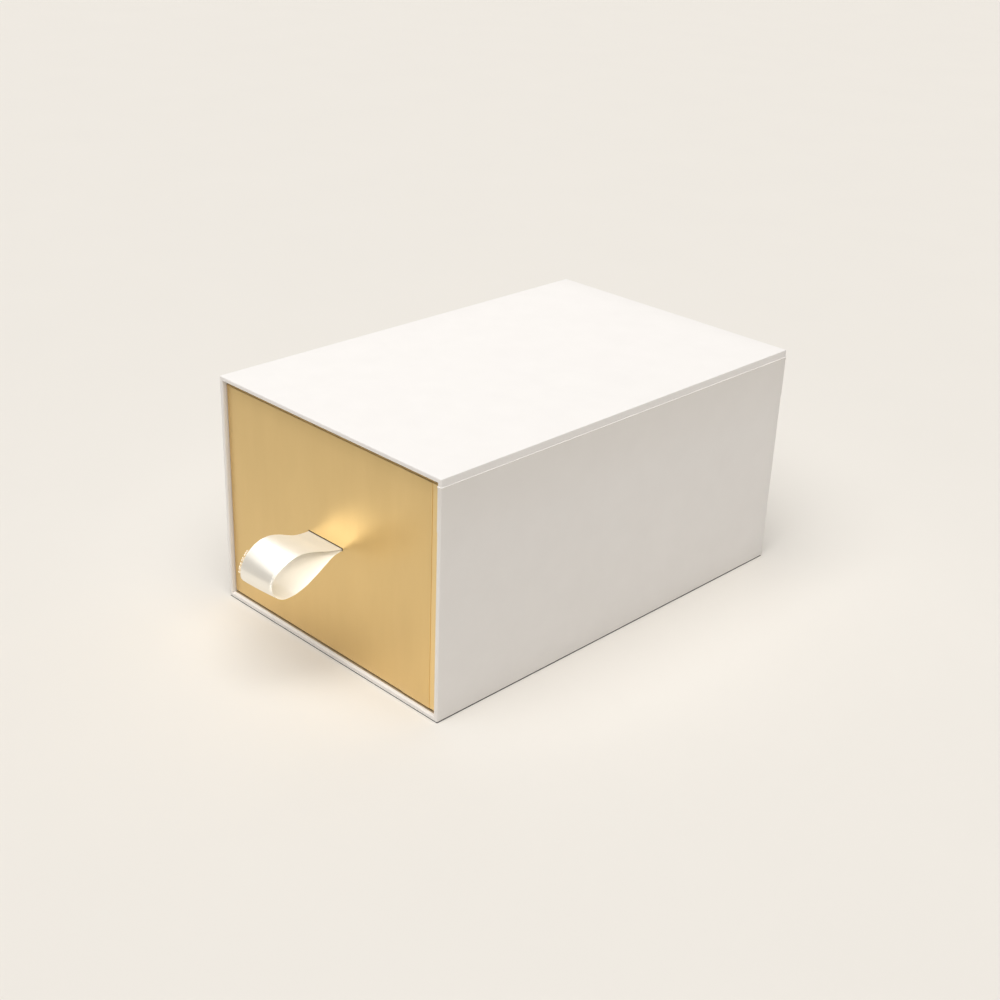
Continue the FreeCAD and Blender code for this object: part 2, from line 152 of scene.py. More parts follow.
tree.links.new(path.outputs["Is Camera Ray"], looked_at.inputs[0])
tree.links.new(mirrored.outputs[0], looked_at.inputs[1])
tree.links.new(wall.outputs[0], looked_at.inputs[2])
tree.links.new(looked_at.outputs[0], add(tree, "ShaderNodeOutputWorld").inputs["Surface"])
bpy.context.scene.view_settings.view_transform = "Standard"
print("walls", wall_colour, "and a room at", room_share, "of them")

# %% [markdown]
# ## Finishes
#
# Paper, board, foil and cloth all come from one kind of recipe: a shader, a cloudy colour that
# drifts between two near shades, and a fine relief. The patterns read Object coordinates, which
# are the same metres as the box, so a grain of a quarter of a millimetre is asked for as that.

# %% Helpers for finishes
def new_finish(name, roughness, **values):
    """A material with one shader, whose even values are set on the shader's own sockets."""
    material = bpy.data.materials.new(name)
    material.use_nodes = True
    shader = material.node_tree.nodes["Principled BSDF"]
    shader.inputs["Roughness"].default_value = roughness
    for socket, value in values.items():
        shader.inputs[socket.replace("_", " ")].default_value = value
    return material, material.node_tree, shader


def grain(tree, size, stretch=(1, 1, 1), detail=2.0):
    """Noise whose grains have a size in metres, longer along an axis with a larger stretch."""
    place = add(tree, "ShaderNodeTexCoord")
    mapping = add(tree, "ShaderNodeMapping", Scale=[1 / (size * part) for part in stretch])
    noise = add(tree, "ShaderNodeTexNoise", Scale=1.0, Detail=detail)
    tree.links.new(place.outputs["Object"], mapping.inputs["Vector"])
    tree.links.new(mapping.outputs[0], noise.inputs["Vector"])
    return noise.outputs["Fac"]


usual = (0.3, 0.7)                # noise seldom leaves this range


def shades(tree, pattern, dark, light, low=usual[0], high=usual[1]):
    """Colours that run from dark to light as a pattern runs from low to high."""
    ramp = add(tree, "ShaderNodeValToRGB")
    ends = ramp.color_ramp.elements
    ends[0].position, ends[0].color = low, (*dark, 1)
    ends[1].position, ends[1].color = high, (*light, 1)
    tree.links.new(pattern, ramp.inputs["Fac"])
    return ramp.outputs["Color"]


def spread(tree, pattern, low, high):
    """A pattern brought to the range from low to high."""
    return map_range(tree, pattern, *usual, low, high)


def blend(tree, share, first, second, blend_type="MIX"):
    """Two colours mixed by a share. Each of the three is a value or comes from another node."""
    mix = add(tree, "ShaderNodeMix", data_type="RGBA", blend_type=blend_type)
    for socket, value in zip((mix.inputs[0], mix.inputs[6], mix.inputs[7]), (share, first, second)):
        if isinstance(value, bpy.types.NodeSocket):
            tree.links.new(value, socket)
        else:
            socket.default_value = value
    return mix.outputs[2]


def where(tree, axis, operation, *values):
    """1 where the place along an axis passes a test against the values, and 0 elsewhere."""
    place = add(tree, "ShaderNodeTexCoord")
    parts = add(tree, "ShaderNodeSeparateXYZ")
    test = add(tree, "ShaderNodeMath", operation=operation)
    for i, value in enumerate(values):
        test.inputs[i + 1].default_value = value
    tree.links.new(place.outputs["Object"], parts.inputs[0])
    tree.links.new(parts.outputs[axis], test.inputs[0])
    return test.outputs[0]


def relief(tree, shader, *layers):
    """Raise the surface by patterns, each with its height in metres."""
    below = None
    for pattern, height in layers:
        bump = add(tree, "ShaderNodeBump", Strength=1.0, Distance=height)
        tree.links.new(pattern, bump.inputs["Height"])
        if below:
            tree.links.new(below, bump.inputs["Normal"])
        below = bump.outputs["Normal"]
    tree.links.new(below, shader.inputs["Normal"])


# %% [markdown]
# ### White coated paper
#
# The sleeve is wrapped in smooth coated paper with a dull film on it. It isn't quite even: the
# pulp is a little cloudy, and the film takes up the tooth of the paper below. Its sheen comes
# from a middling roughness rather than from a clear coat, which would look like plastic. A second
# finish, brown and streaky, is painted shade for the strip of the sleeve's floor that lies in the
# gap under the drawer's front.

# %% White paper
def make_white_paper():
    """Smooth white paper with a dull film on it."""
    material, tree, shader = new_finish("coated_white", 0.45, Specular_IOR_Level=0.45)
    clouds = grain(tree, 9 * MM, detail=4)
    tree.links.new(shades(tree, clouds, (0.884, 0.852, 0.820), (0.900, 0.868, 0.836)),
                   shader.inputs["Base Color"])
    tree.links.new(spread(tree, grain(tree, 3 * MM), 0.41, 0.50), shader.inputs["Roughness"])
    relief(tree, shader, (grain(tree, 2.2 * MM), 0.004 * MM), (grain(tree, 0.16 * MM), 0.0025 * MM))
    return material


def make_gap_shade_paper():
    """Painted shade for the gap under the drawer's front: brown, with streaks front to back."""
    material, tree, shader = new_finish("gap_shade_paper", 0.5)
    streaks = grain(tree, 1.5 * MM, stretch=(0.3, 6.0, 0.3), detail=3)
    tree.links.new(shades(tree, streaks, (0.46, 0.35, 0.20), (0.58, 0.46, 0.29)),
                   shader.inputs["Base Color"])
    return material


white_paper = make_white_paper()
gap_shade_paper = make_gap_shade_paper()
print("white finishes", white_paper.name, gap_shade_paper.name)

# %% [markdown]
# ### Gold paper
#
# The drawer's paper carries a thin metal film, so it is a metal in colour and in reflections. The
# film follows the paper's grain, which blurs what it mirrors: the floor shows as an even glow, and
# the ribbon near it as a soft streak. The web of the paper runs up the box, so its faint marks do.
# The overlapped end at the right of the front lies a little askew, so it mirrors more of the bright
# floor, and that brighter reflection is painted into its colour as a lighter tone. A comparison of
# the place across the box with that end's edge chooses between the two tones.

# %% Gold paper
overlap_from = 46.3 * MM          # the overlapped end's edge, right of the middle


def make_gold_paper():
    """Paper with a thin metal film, in two tones: the overlapped end is painted lighter, as a
    painted reflection.
    """
    material, tree, shader = new_finish("gold_film", 0.36, Metallic=1.0)
    clouds = grain(tree, 14 * MM, stretch=(0.7, 0.7, 2.2), detail=3)
    body = shades(tree, clouds, (0.762, 0.556, 0.256), (0.792, 0.580, 0.269))
    # painted reflection: the overlapped end's lighter tone
    overlap_glint = shades(tree, clouds, (0.850, 0.640, 0.315), (0.880, 0.662, 0.328))
    beyond = where(tree, "X", "GREATER_THAN", overlap_from)
    tree.links.new(blend(tree, beyond, body, overlap_glint), shader.inputs["Base Color"])
    web = grain(tree, 1.8 * MM, stretch=(0.5, 0.5, 9.0), detail=2)
    tree.links.new(spread(tree, web, 0.345, 0.375), shader.inputs["Roughness"])
    relief(tree, shader, (web, 0.0012 * MM), (grain(tree, 0.22 * MM), 0.0016 * MM))
    return material


gold_paper = make_gold_paper()
print("gold finish", gold_paper.name)

# %% [markdown]
# ### Board, tape and linings
#
# These are the plain materials that a box maker works in, and they show when the drawer is out or
# the box is opened up. Greyboard is pressed waste paper, grey with darker and lighter fibres.
# Gummed tape is brown and streaky. Lining paper has no coating, so it is rougher than the wraps.

# %% Board, tape and linings
fleck_size = 0.5 * MM
fleck_edge = (0.66, 0.70)         # only the peaks of the noise are flecks


def make_pulp(name, dark, light, roughness, fibre, stretch, height, speckle=None):
    """An uncoated paper or board: fibres of a size and direction, and flecks if it has them."""
    material, tree, shader = new_finish(name, roughness, Specular_IOR_Level=0.25)
    fibres = grain(tree, fibre, stretch=stretch, detail=5)
    colour = shades(tree, fibres, dark, light)
    if speckle:
        flecks = shades(tree, grain(tree, fleck_size, detail=1), (1, 1, 1), speckle, *fleck_edge)
        colour = blend(tree, 1.0, colour, flecks, blend_type="MULTIPLY")
    tree.links.new(colour, shader.inputs["Base Color"])
    relief(tree, shader, (fibres, height))
    return material


greyboard = make_pulp("pressed_board", (0.36, 0.34, 0.31), (0.47, 0.45, 0.41), 0.92,
                      0.45 * MM, (2.5, 2.5, 0.6), 0.02 * MM, speckle=(0.62, 0.58, 0.52))
gummed_tape = make_pulp("brown_tape", (0.50, 0.34, 0.20), (0.64, 0.47, 0.30), 0.62,
                        0.35 * MM, (3, 1, 3), 0.008 * MM)
lining_paper = make_pulp("uncoated_lining", (0.845, 0.822, 0.780), (0.885, 0.862, 0.822), 0.82,
                         0.30 * MM, (1.6, 1.6, 1.6), 0.006 * MM)
print("papers and boards", [m.name for m in bpy.data.materials])

# %% [markdown]
# ### Satin
#
# Satin is woven with long threads on its face that are tied down only now and then, which gives
# its shine. The pattern follows the cloth's own map, so it bends with the ribbon: long bricks in
# staggered rows are the floating threads, and the joints between them are the ties. Part of the
# light goes through, because the ribbon is thin, and that brightens the inside of the loop. Where
# it passes through the board the ribbon's colour is painted dark brown, as painted shade, which
# shows as a thin line at the slot.

# %% Satin
thread_pitch = 0.11 * MM
thread_gap = 0.22 * thread_pitch
float_length = 0.75 * MM
see_through = 0.12                # the share of the light that goes through the cloth
map_unit = 100 * MM               # the cloth's map runs from 0 to 1 over this much ribbon
slot_middle, slot_half = -78.25 * MM, 0.58 * MM   # front to back, and half the slot's depth
# dark brown painted shade for the ribbon inside the slot
slot_shade_brown = (0.10, 0.05, 0.02, 1)
thread_colours = {"Color1": (0.968, 0.950, 0.900, 1), "Color2": (0.958, 0.938, 0.886, 1),
                  "Mortar": (0.935, 0.908, 0.850, 1)}


def add_weave(tree):
    """Satin's floating threads, as long bricks in staggered rows on the cloth's map."""
    cloth_place = add(tree, "ShaderNodeUVMap", uv_map="cloth")
    swap = add(tree, "ShaderNodeMapping", Rotation=(0, 0, math.radians(90)))
    weave = add(tree, "ShaderNodeTexBrick", offset=0.38, offset_frequency=2, Scale=1.0,
                **thread_colours, **{"Brick Width": float_length / map_unit,
                                     "Row Height": thread_pitch / map_unit,
                                     "Mortar Size": thread_gap / map_unit, "Mortar Smooth": 1.0})
    tree.links.new(cloth_place.outputs[0], swap.inputs["Vector"])
    tree.links.new(swap.outputs[0], weave.inputs["Vector"])
    return weave


def make_satin():
    """Woven satin: half metal for its shine, with some light let through."""
    material, tree, shader = new_finish("ivory_satin", 0.46, Metallic=0.56, Anisotropic=0.9,
                                        Sheen_Weight=0.2, Sheen_Roughness=0.3)
    weave = add_weave(tree)
    # painted shade: the ribbon is dark brown where it lies in the slot
    in_slot = where(tree, "Y", "COMPARE", slot_middle, slot_half)
    tree.links.new(blend(tree, in_slot, weave.outputs["Color"], slot_shade_brown),
                   shader.inputs["Base Color"])
    upright = add(tree, "ShaderNodeMath", operation="SUBTRACT")
    upright.inputs[0].default_value = 1.0
    tree.links.new(weave.outputs["Fac"], upright.inputs[1])
    relief(tree, shader, (upright.outputs[0], 0.004 * MM))
    along = add(tree, "ShaderNodeTangent", direction_type="UV_MAP", uv_map="cloth")
    tree.links.new(along.outputs[0], shader.inputs["Tangent"])

    through = add(tree, "ShaderNodeBsdfTranslucent", Color=(0.98, 0.96, 0.92, 1))
    both = add(tree, "ShaderNodeMixShader")
    both.inputs[0].default_value = see_through
    tree.links.new(shader.outputs[0], both.inputs[1])
    tree.links.new(through.outputs[0], both.inputs[2])
    tree.links.new(both.outputs[0], tree.nodes["Material Output"].inputs["Surface"])
    return material


def make_thread():
    """The single cross thread at the ribbon's edges."""
    material, tree, shader = new_finish("satin_thread", 0.42, Sheen_Weight=0.3)
    twist = grain(tree, 0.12 * MM, stretch=(1, 2, 1))
    tree.links.new(shades(tree, twist, (0.92, 0.90, 0.86), (0.97, 0.96, 0.93)),
                   shader.inputs["Base Color"])
    return material


satin = make_satin()
satin_thread = make_thread()
print("satin with", round(MM / thread_pitch, 1), "threads to a millimetre")

# %% [markdown]
# ## Dress the carried pieces
#
# The boards, tapes, linings and cover sheets stay as they were built. Each takes its finish by
# its name, which says what it is made of.

# %% Finishes on the carried pieces
finish_by_name = {"board": greyboard, "tape": gummed_tape, "lining": lining_paper,
                  "patch": gummed_tape, "back_sheet": white_paper, "base_sheet": gold_paper,
                  "sleeve_wrap": white_paper, "drawer_wrap": gold_paper, "ribbon": satin}
for name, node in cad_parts.items():
    finish = next(finish for word, finish in finish_by_name.items() if name.endswith(word))
    node.data.materials.clear()
    node.data.materials.append(finish)
print(len(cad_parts), "carried pieces have a finish")

# %% [markdown]
# ## The floor
#
# A sheet of pale card, large enough to fill the picture. Folded paper never lies quite
# flat, so the box stands a hair above it.

# %% Floor
floor_colour = (0.80, 0.76, 0.70)
floor_size = 6.0
floor_gap = 0.30 * MM
darker_share = 0.992              # the floor's darker clouds beside its colour


def make_pale_card():
    """Card for the floor, a little cloudy."""
    material, tree, shader = new_finish("pale_card", 0.9, Specular_IOR_Level=0.2)
    cloudy = shades(tree, grain(tree, 60 * MM, detail=3),
                    [darker_share * part for part in floor_colour], floor_colour)
    tree.links.new(cloudy, shader.inputs["Base Color"])
    return material


bpy.ops.mesh.primitive_plane_add(size=floor_size, location=(0, 0, -floor_gap))
floor = bpy.context.object
floor.name = "pale_floor"
floor.data.materials.append(make_pale_card())
print("floor", floor_size, "m wide,", round(floor_gap / MM, 2), "mm below the box")

# %% [markdown]
# ### A dark card under the sleeve
#
# In soft light so thin a gap would hardly show. A dark card that lies just above the floor, a
# little smaller than the sleeve, keeps it a thin dark line. The card is part of the scene and not
# of the box.

# %% Card under the sleeve
card_inset = 0.02 * MM
card_drop = 0.9 * floor_gap       # below the box


def add_card(name, finish, place, size, turn=0):
    """A flat card at a place, with its size across and along, tipped up by some degrees."""
    bpy.ops.mesh.primitive_plane_add(size=1, location=place, rotation=(math.radians(turn), 0, 0))
    card = bpy.context.object
    card.name = name
    card.scale = (*size, 1)
    card.data.materials.append(finish)
    return card


contact_low, contact_high = (Vector(corner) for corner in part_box("sleeve_wrap"))
card_size = [side - 2 * card_inset for side in (contact_high - contact_low)[:2]]
shade_card, _, _ = new_finish("shade_card", 1.0, Base_Color=(0.12, 0.12, 0.12, 1))
contact = add_card("contact_shade", shade_card,
                   (0, (contact_low.y + contact_high.y) / 2, -card_drop), card_size)
print("dark card", [round(side / MM, 1) for side in card_size], "mm")

# %% [markdown]
# ### A dark flag for the gold
#
# A metal has no brightness of its own. A photographer stands a black card, called a flag, in
# front of it, out of the picture. The top of the gold front mirrors the flag and the foot mirrors
# the pale floor, which gives the front its slow change from deep to light. Nothing but a mirror
# ray sees the flag.

# %% Flag
flag_place, flag_size = (0, -0.34, 0.30), (2.0, 0.6)

black_card, _, _ = new_finish("black_card", 1.0, Base_Color=(0.08, 0.07, 0.06, 1))
flag = add_card("dark_flag", black_card, flag_place, flag_size, turn=90)
flag.visible_camera = flag.visible_diffuse = flag.visible_shadow = False
flag.visible_transmission = False
print("flag", flag_size, "m at", flag_place)

# %% [markdown]
# ## Tools for folding a cover
#
# Each cover is one sheet of paper folded round a block, open on one side and turned over the edges
# of the opposite one. By hand it would be: add a cube, inset the open side, push the middle in and
# delete it, inset the other side and delete its middle, then bevel the folds and give the sheet
# its thickness. The helpers do those steps with the same operators, and choose faces and edges by
# where they are, since nobody is there to click on them.

# %% Helpers for modelling
cut_reach = 1e-6                  # a row nearer to a corner than this uses that corner
weld_reach = 0.002 * MM           # corners that fell this close together become one


def start_block(name, low, high):
    """A cube at the size and place of the block between two corners, open for editing."""
    bpy.ops.object.select_all(action="DESELECT")
    bpy.ops.mesh.primitive_cube_add(size=1, location=(low + high) / 2)
    piece = bpy.context.object
    piece.name = piece.data.name = name
    piece.scale = high - low
    bpy.ops.object.transform_apply(location=True, rotation=True, scale=True)
    bpy.ops.object.mode_set(mode="EDIT")
    return piece


def choose(piece, kind, test):
    """Select the faces, edges or corners of the piece being edited that pass a test."""
    bpy.ops.mesh.select_mode(type=kind)
    bpy.ops.mesh.select_all(action="DESELECT")
    mesh = bmesh.from_edit_mesh(piece.data)
    mesh.normal_update()
    parts = {"FACE": mesh.faces, "EDGE": mesh.edges, "VERT": mesh.verts}[kind]
    chosen = [part for part in parts if test(part)]
    for part in chosen:
        part.select_set(True)
    mesh.select_flush_mode()
    bmesh.update_edit_mesh(piece.data)
    return len(chosen)


def looks(face, way):
    """Whether a face looks in a direction."""
    return face.normal.dot(way) > 0.9


def middle(part):
    """The middle of a face or an edge."""
    return sum((corner.co for corner in part.verts), Vector()) / len(part.verts)


def add_rows(piece, axis, places):
    """Cut rows of edges right round a piece, across an axis at these places."""
    for place in places:
        bpy.ops.mesh.select_all(action="SELECT")
        bpy.ops.mesh.bisect(plane_co=axis * place, plane_no=axis, threshold=cut_reach)


def even_places(low, high, step):
    """Places about a step apart between two ends, without the ends."""
    count = round((high - low) / step)
    return [low + (high - low) * i / count for i in range(1, count)]


def finish_sheet(piece, thickness, finish, angle=30):
    """Leave edit mode, give a sheet its thickness inwards, weld it, and smooth its shading."""
    bpy.ops.object.mode_set(mode="OBJECT")
    solid = piece.modifiers.new("thickness", "SOLIDIFY")
    solid.thickness = thickness
    solid.offset = -1
    solid.use_even_offset = True
    bpy.ops.object.modifier_apply(modifier=solid.name)
    bpy.ops.object.mode_set(mode="EDIT")
    bpy.ops.mesh.select_all(action="SELECT")
    bpy.ops.mesh.remove_doubles(threshold=weld_reach)
    bpy.ops.object.mode_set(mode="OBJECT")
    bpy.ops.object.shade_smooth_by_angle(angle=math.radians(angle))
    piece.data.materials.append(finish)
    print(piece.name, len(piece.data.polygons), "faces")


# %% [markdown]
# ## Folding a cover
#
# The inset leaves a slanting edge at each corner of the lip, just where the real paper is cut to a
# mitre. The folds are rounded after that, and rows of edges are added so that the sheet can be
# raised where another layer lies below it.

# %% Fold a cover round a block
sharp = math.radians(60)          # a bend sharper than this is a fold


def fold_cover(name, low, high, opening, lip, turn_in, turn_over, fold):
    """One sheet round a block: open on one side, turned in there and over the opposite side."""
    piece = start_block(name, low, high)
    choose(piece, "FACE", lambda face: looks(face, opening))
    bpy.ops.mesh.inset(thickness=lip)
    bpy.ops.mesh.extrude_region_move(TRANSFORM_OT_translate={"value": -opening * turn_in})
    bpy.ops.mesh.delete(type="FACE")
    choose(piece, "FACE", lambda face: looks(face, -opening))
    bpy.ops.mesh.inset(thickness=turn_over)
    bpy.ops.mesh.delete(type="FACE")

    choose(piece, "EDGE", lambda edge: len(edge.link_faces) == 2 and edge.is_convex
           and edge.calc_face_angle() > sharp)
    bpy.ops.mesh.bevel(offset=fold, segments=5, affect="EDGES")
    return piece


def pinch_mitres(piece, opening, level, fold, width, height):
    """Raise a fine ridge along the slanting edges of the lip, where the mitred paper meets."""
    near = fold / 10

    def slants(edge):
        run = edge.verts[1].co - edge.verts[0].co
        flat, shorter, longer = sorted(abs(part) for part in run)
        return (abs(middle(edge).dot(opening) - level) < near and flat < near
                and shorter > 0.9 * longer and run.length > fold)

    found = choose(piece, "EDGE", slants)
    bpy.ops.mesh.bevel(offset=width, segments=2, affect="EDGES")
    choose(piece, "EDGE", slants)
    bpy.ops.transform.translate(value=opening * height)
    print(piece.name, found, "mitres")


# %% [markdown]
# ## The white cover
#
# One sheet goes round the four walls. It is turned into the mouth, where its corners are mitred,
# and over the back.

# %% White cover
paper = 0.12 * MM
skin = 0.18 * MM                  # paper and the film of glue below it
white_fold = 0.15 * MM
sleeve_lip = 1.40 * MM
white_in, white_over = 15 * MM, 14 * MM       # turned into the mouth, and over the back
white_ridge = (0.14 * MM, 0.12 * MM)          # width of half a mitre's ridge, and its height


def around(*names):
    """The block that the cover of these boards fills, outside its paper."""
    corners = [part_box(name) for name in names]
    low = Vector([min(pair[0][i] for pair in corners) - skin for i in range(3)])
    high = Vector([max(pair[1][i] for pair in corners) + skin for i in range(3)])
    return low, high


sleeve_low, sleeve_high = around("sleeve_top_board", "sleeve_bottom_board", "sleeve_left_board",
                                 "sleeve_right_board")
white_cover = fold_cover("white_cover", sleeve_low, sleeve_high, -BACK, sleeve_lip, white_in,
                         white_over, white_fold)
pinch_mitres(white_cover, -BACK, -sleeve_low.y, white_fold, *white_ridge)

# %% [markdown]
# ### The white cover's overlapped end
#
# The sheet begins with a flap on the right wall, goes over the top, round the left wall and the
# underside, and ends over its own flap a little below the top right edge. So the last end stands a
# sheet's thickness proud, its cut edge catches the light, and the flap's edge shows lower down as a
# faint ridge. Those two lines are cut as rows of edges, and the band between them is raised along
# its own normals, which carries the step over the lip and into the mouth. The glue doesn't quite
# reach the cut edge, so that row is moved out a little more: the edge has sprung.

# %% Overlapped end
white_seam = 2.4 * MM             # cut edge below the top right edge
white_flap = 16.0 * MM            # flap's edge below the top right edge
ridge_run = 0.9 * MM              # how far the sheet takes to climb over the flap's edge
step_run = 0.01 * MM
edge_lift = 0.22 * MM             # how far the glued edge springs up
edge_run = 0.6 * MM
round_off = 1.01 * white_fold     # a fold's rounding, and a little more
gap_shade_depth = 1.05 * MM             # behind the lip, where the painted shade of the gap under the drawer begins
gap_shade_width = 1.6 * MM
row_step = 8 * MM

seam_z, flap_z = sleeve_high.z - white_seam, sleeve_high.z - white_flap
gap_shade_low = sleeve_low.y + gap_shade_depth
gap_shade_high = gap_shade_low + gap_shade_width
add_rows(white_cover, UP, (flap_z - ridge_run, flap_z, seam_z - edge_run, seam_z,
                           seam_z + step_run))
add_rows(white_cover, BACK, (gap_shade_low, gap_shade_high))
add_rows(white_cover, UP, even_places(sleeve_low.z, flap_z, row_step))
add_rows(white_cover, BACK, even_places(sleeve_low.y, sleeve_high.y, row_step))
add_rows(white_cover, RIGHT, even_places(sleeve_low.x, sleeve_high.x, row_step))


def on_right_wall(corner):
    """Whether a corner belongs to the sheet on the right wall."""
    return corner.co.x > sleeve_high.x - 2 * sleeve_lip


raised = choose(white_cover, "VERT", lambda corner: on_right_wall(corner)
                and flap_z - step_run < corner.co.z < seam_z + step_run / 2)
bpy.ops.transform.shrink_fatten(value=paper)
for out, face_level in ((RIGHT, sleeve_high.x), (-BACK, -sleeve_low.y)):
    choose(white_cover, "VERT", lambda corner: on_right_wall(corner)
           and abs(corner.co.z - seam_z) < step_run / 2
           and corner.co.dot(out) > face_level - round_off)
    bpy.ops.transform.translate(value=out * edge_lift)
print("raised corners", raised)

# %% [markdown]
# ### A strip of painted shade
#
# A material is a choice for each face. The cover takes two, and a strip of faces on the sleeve's
# floor, just inside the mouth, is given the second: brown, painted shade for the gap under the
# drawer's front.

# %% White cover's finishes
floor_low, floor_high = 0.8 * sleeve_lip, 1.2 * sleeve_lip     # the floor's paper lies between

finish_sheet(white_cover, paper, white_paper)
# painted shade: the strip in the gap under the drawer's front takes the brown finish
white_cover.data.materials.append(gap_shade_paper)
for face in white_cover.data.polygons:
    if floor_low < face.center.z < floor_high and gap_shade_low < face.center.y < gap_shade_high:
        face.material_index = 1
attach(white_cover, "sleeve")
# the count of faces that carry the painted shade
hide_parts("sleeve_wrap")
print("rubbed faces", sum(face.material_index for face in white_cover.data.polygons))

# %% [markdown]
# ## The gold cover
#
# The drawer's sheet is folded in the same way, but it opens upwards. It is turned down inside the
# rim and under the base. All its folds, the rim's too, are rounder than the white cover's, since
# the board's edges are soft from handling.

# %% Gold cover
gold_fold = 0.40 * MM
drawer_lip = 1.30 * MM
gold_in, gold_over = 14 * MM, 14 * MM         # turned into the drawer, and under its base
gold_ridge = (0.22 * MM, 0.07 * MM)

drawer_low, drawer_high = around("drawer_front_board", "drawer_rear_board", "drawer_left_board",
                                 "drawer_right_board", "drawer_base_board")
gold_cover = fold_cover("gold_cover", drawer_low, drawer_high, UP, drawer_lip, gold_in, gold_over,
                        gold_fold)
pinch_mitres(gold_cover, UP, drawer_high.z, gold_fold, *gold_ridge)

# %% [markdown]
# ### The gold cover's slot and overlapped end
#
# The sheet begins with a flap on the front and ends over it near the right edge, so the band
# between is raised as on the sleeve. Two rows each way mark the ribbon's slot, and the faces
# between them are deleted.

# %% Slot and overlapped end
gold_seam = 3.05 * MM             # cut edge left of the front's right edge
gold_flap = 15.8 * MM
slot_side = 0.3 * MM              # the slot is wider than the ribbon by this at each side
slot_below, slot_above = 0.475 * MM, 0.675 * MM
gold_row_step = 6 * MM

seam_x, flap_x = drawer_high.x - gold_seam, drawer_high.x - gold_flap
ribbon_low, ribbon_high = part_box("pull_ribbon")
ribbon_z = (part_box("ribbon_patch")[0].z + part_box("ribbon_patch")[1].z) / 2
slot_low, slot_high = ribbon_low.x - slot_side, ribbon_high.x + slot_side
slot_bottom, slot_top = ribbon_z - slot_below, ribbon_z + slot_above
add_rows(gold_cover, RIGHT, (flap_x, flap_x + ridge_run, seam_x, seam_x + step_run))
add_rows(gold_cover, RIGHT, (slot_low, slot_high))
add_rows(gold_cover, UP, (slot_bottom, slot_top))
add_rows(gold_cover, RIGHT, even_places(drawer_low.x, flap_x, gold_row_step))
add_rows(gold_cover, UP, even_places(drawer_low.z, drawer_high.z, gold_row_step))
add_rows(gold_cover, BACK, even_places(drawer_low.y, drawer_high.y, row_step))
in_slot = choose(gold_cover, "FACE", lambda face: looks(face, -BACK)
                 and middle(face).y < drawer_low.y + paper
                 and slot_low < middle(face).x < slot_high
                 and slot_bottom < middle(face).z < slot_top)
bpy.ops.mesh.delete(type="FACE")
choose(gold_cover, "VERT", lambda corner: corner.co.y < drawer_low.y + 2 * drawer_lip
       and flap_x + ridge_run / 2 < corner.co.x < seam_x + step_run / 2)
bpy.ops.transform.shrink_fatten(value=paper)
finish_sheet(gold_cover, paper, gold_paper)
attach(gold_cover, "drawer")
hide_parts("drawer_wrap")
print("faces cut out for the slot", in_slot)

# %% [markdown]
# ## The ribbon
#
# A ribbon is a flat strip before it is anything else, so it starts as a flat grid of its real size
# and is then laid on its line. The line goes up the inside of the drawer's front, through the slot,
# round the loop and back the same way. The two edges get lines of their own, because a real loop
# is never quite level: its left edge dips near the slot, and its right edge stands out at the nose.
# Each line is a Bezier curve with automatic handles, which draws the smooth bend for us.

# %% The ribbon's two edge lines
tail, half_gap = 17.0, 0.225      # tail's length, and a layer's middle from the slot's middle
inside_out = -1.33                # tail's middle, inside the drawer's front
bend_up, bend_out = 0.475, -1.08  # where the tail bends into the slot
through_slot = [(inside_out, tail), (inside_out, bend_up), (bend_out, half_gap), (0.0, half_gap)]
left_loop = [(5.2, 0.6), (8.6, 1.75), (12.0, 3.05), (16.0, 3.75), (19.7, 2.95), (22.5, 1.2),
             (24.7, -1.4), (25.9, -4.4), (25.6, -7.2), (23.3, -9.0), (20.2, -9.2), (15.7, -8.2),
             (10.7, -5.7), (6.4, -3.0), (3.3, -1.1)]
right_loop = [(5.0, 1.25), (9.3, 2.6), (13.5, 3.55), (17.4, 3.5), (20.6, 2.5), (23.6, 0.95),
              (25.7, -1.1), (26.45, -3.7), (25.5, -6.4), (23.2, -8.4), (20.0, -8.85),
              (15.5, -7.9), (10.5, -5.4), (6.3, -2.75), (3.2, -0.95)]
steps_each = 10                   # rows from one point of a line to the next


def edge_line(loop, x):
    """Points along one edge of the ribbon, from the upper tail to the lower one."""
    back_again = [(out, -up) for out, up in reversed(through_slot)]
    route = through_slot + loop + back_again
    bpy.ops.object.select_all(action="DESELECT")
    bpy.ops.curve.primitive_bezier_curve_add()
    line = bpy.context.object
    line.data.resolution_u = steps_each
    spline = line.data.splines[0]
    spline.bezier_points.add(len(route) - len(spline.bezier_points))
    for point, (out, up) in zip(spline.bezier_points, route):
        point.co = (x, drawer_low.y - out * MM, ribbon_z + up * MM)
        free = (out, up) in loop
        point.handle_left_type = point.handle_right_type = "AUTO" if free else "VECTOR"
    line.matrix_world = Matrix.Identity(4)
    bpy.context.view_layer.update()
    drawn = line.evaluated_get(bpy.context.evaluated_depsgraph_get())
    sampled = bpy.data.meshes.new_from_object(drawn)
    points = [corner.co.copy() for corner in sampled.vertices]
    bpy.data.objects.remove(line)
    return points


left_line = edge_line(left_loop, ribbon_low.x)
right_line = edge_line(right_loop, ribbon_high.x)
rows = len(left_line) - 1
middle_line = [(left + right) / 2 for left, right in zip(left_line, right_line)]
along = [0.0]
for first, last in zip(middle_line, middle_line[1:]):
    along.append(along[-1] + (last - first).length)
ribbon_width, ribbon_length = ribbon_high.x - ribbon_low.x, along[-1]
print(f"ribbon {ribbon_width / MM:.1f} x {ribbon_length / MM:.1f} mm, {rows} rows")

# %% [markdown]
# ### Lay the ribbon
#
# Each row of the flat grid goes to the same row of the two lines, and the cloth bellies out
# between them by a fraction of a millimetre where it is free. The cloth's map keeps the flat
# places, so the weave stays straight. A thin Solidify makes it cloth and not a film.

